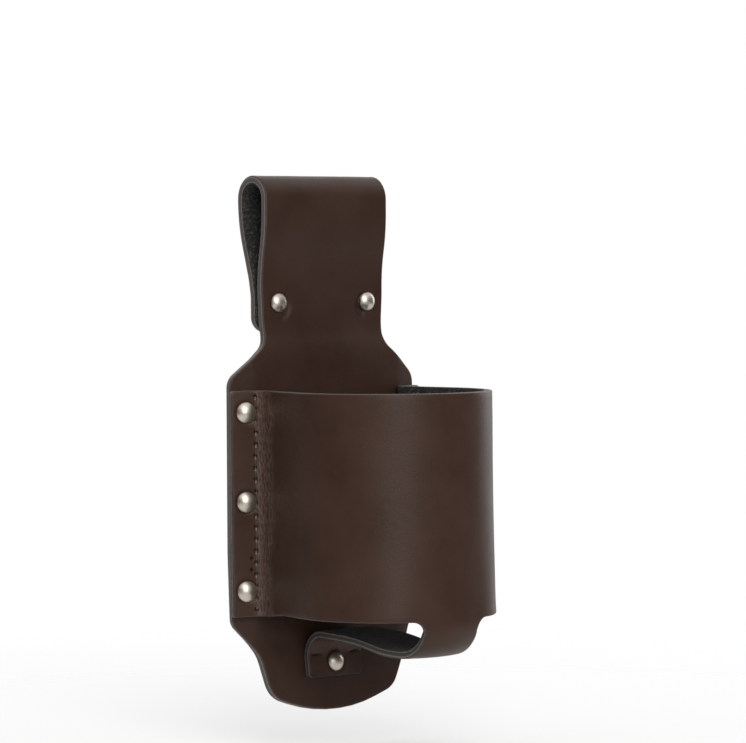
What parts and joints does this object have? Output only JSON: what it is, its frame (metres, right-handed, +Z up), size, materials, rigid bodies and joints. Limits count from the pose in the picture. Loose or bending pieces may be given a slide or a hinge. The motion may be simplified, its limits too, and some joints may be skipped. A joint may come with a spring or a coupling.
{
  "type": "belt bottle holster",
  "caption": "Leather belt holster for one bottle: a round band with a strap under the base, riveted to a back panel whose strip folds over into a belt loop.",
  "frame": {"origin": "the centre of the belt loop's round top, in the middle of the loop's width", "axes": "+X to the right of someone who looks at the holster's front, +Y rearwards into the wearer, +Z up along the bottle"},
  "size_m": [0.0798, 0.0807, 0.1768],
  "materials": {
    "panel_leather": "satin, smooth grain outside and suede inside",
    "band_leather": "satin, smooth grain outside and suede inside",
    "rivet_cap": "satin nickel plate",
    "rivet_base": "satin nickel plate"
  },
  "bodies": {
    "root": {"back_panel": "panel_leather", "front_band": "band_leather", "left_top_rivet_cap": "rivet_cap", "left_top_rivet_base": "rivet_base", "left_mid_rivet_cap": "rivet_cap", "left_mid_rivet_base": "rivet_base", "left_low_rivet_cap": "rivet_cap", "left_low_rivet_base": "rivet_base", "right_top_rivet_cap": "rivet_cap", "right_top_rivet_base": "rivet_base", "right_mid_rivet_cap": "rivet_cap", "right_mid_rivet_base": "rivet_base", "right_low_rivet_cap": "rivet_cap", "right_low_rivet_base": "rivet_base", "left_loop_rivet_cap": "rivet_cap", "left_loop_rivet_base": "rivet_base", "right_loop_rivet_cap": "rivet_cap", "right_loop_rivet_base": "rivet_base", "tab_rivet_cap": "rivet_cap", "tab_rivet_base": "rivet_base"}
  },
  "joints": []
}
